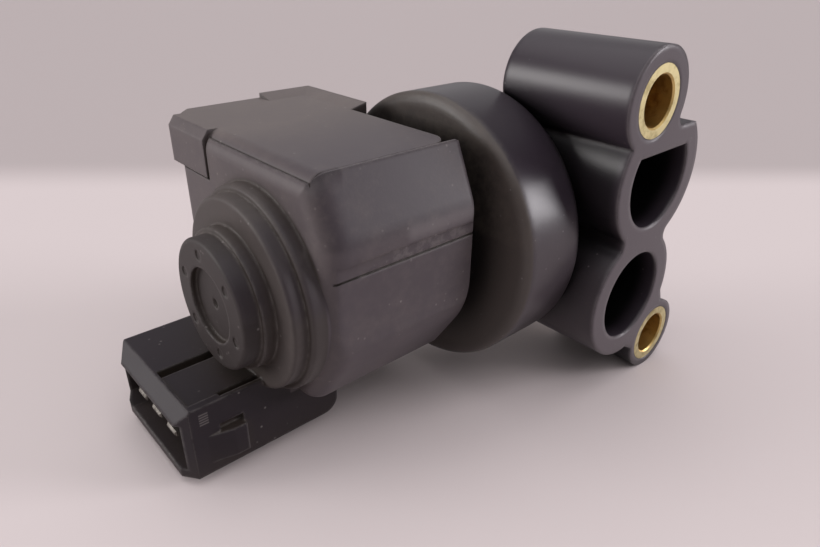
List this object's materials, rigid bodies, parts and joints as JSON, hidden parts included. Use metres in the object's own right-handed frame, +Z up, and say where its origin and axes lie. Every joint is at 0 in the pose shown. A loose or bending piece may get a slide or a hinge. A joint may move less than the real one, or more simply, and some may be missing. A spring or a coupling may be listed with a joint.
{
  "type": "idle air control valve",
  "caption": "Rotary idle air control valve: moulded coil housing with a plug socket, and a valve body with a flat mounting face, air ports and bolt bosses with brass sleeves.",
  "frame": {"origin": "on the mounting face, midway between the two bolt holes", "axes": "-Y out of the mounting face, +X along the main axis from the end cap to the valve body, +Z up, from the lower bolt towards the lid"},
  "size_m": [0.0877, 0.0535, 0.0593],
  "materials": {
    "housing_plastic": "matte, dusty",
    "body_plastic": "smooth, soft sheen",
    "plated_terminal": "tin plated",
    "brass_sleeve": "turned",
    "steel": "machined",
    "bobbin_plastic": "moulded",
    "copper_winding": "enamelled wire",
    "bearing_bronze": "sintered",
    "seal_rubber": "matte",
    "magnet": "sintered ferrite",
    "slide_plastic": "moulded"
  },
  "bodies": {
    "housing": {"coil_housing": "housing_plastic", "terminal_cover": "housing_plastic", "terminal_right": "plated_terminal", "terminal_middle": "plated_terminal", "terminal_left": "plated_terminal", "stator_yoke": "steel", "upper_pole": "steel", "lower_pole": "steel", "upper_bobbin": "bobbin_plastic", "lower_bobbin": "bobbin_plastic", "upper_winding": "copper_winding", "lower_winding": "copper_winding", "front_bush": "bearing_bronze", "rear_bush": "bearing_bronze", "shaft_seal": "seal_rubber", "neck_seal": "seal_rubber", "valve_body": "body_plastic", "upper_bushing": "brass_sleeve", "lower_bushing": "brass_sleeve"},
    "rotor": {"rotor_shaft": "steel", "shaft_clip": "steel", "thrust_washer": "steel", "magnet_carrier": "slide_plastic", "rotor_magnet": "magnet", "rotary_slide": "slide_plastic"}
  },
  "joints": [
    {"name": "slide_turn", "type": "hinge", "parent": "housing", "child": "rotor", "pos_m": [0, 0.0264, -0.00025], "axis": [1, 0, 0], "range_deg": [-30, 30], "stiffness_Nm_per_rad": 0.02}
  ]
}
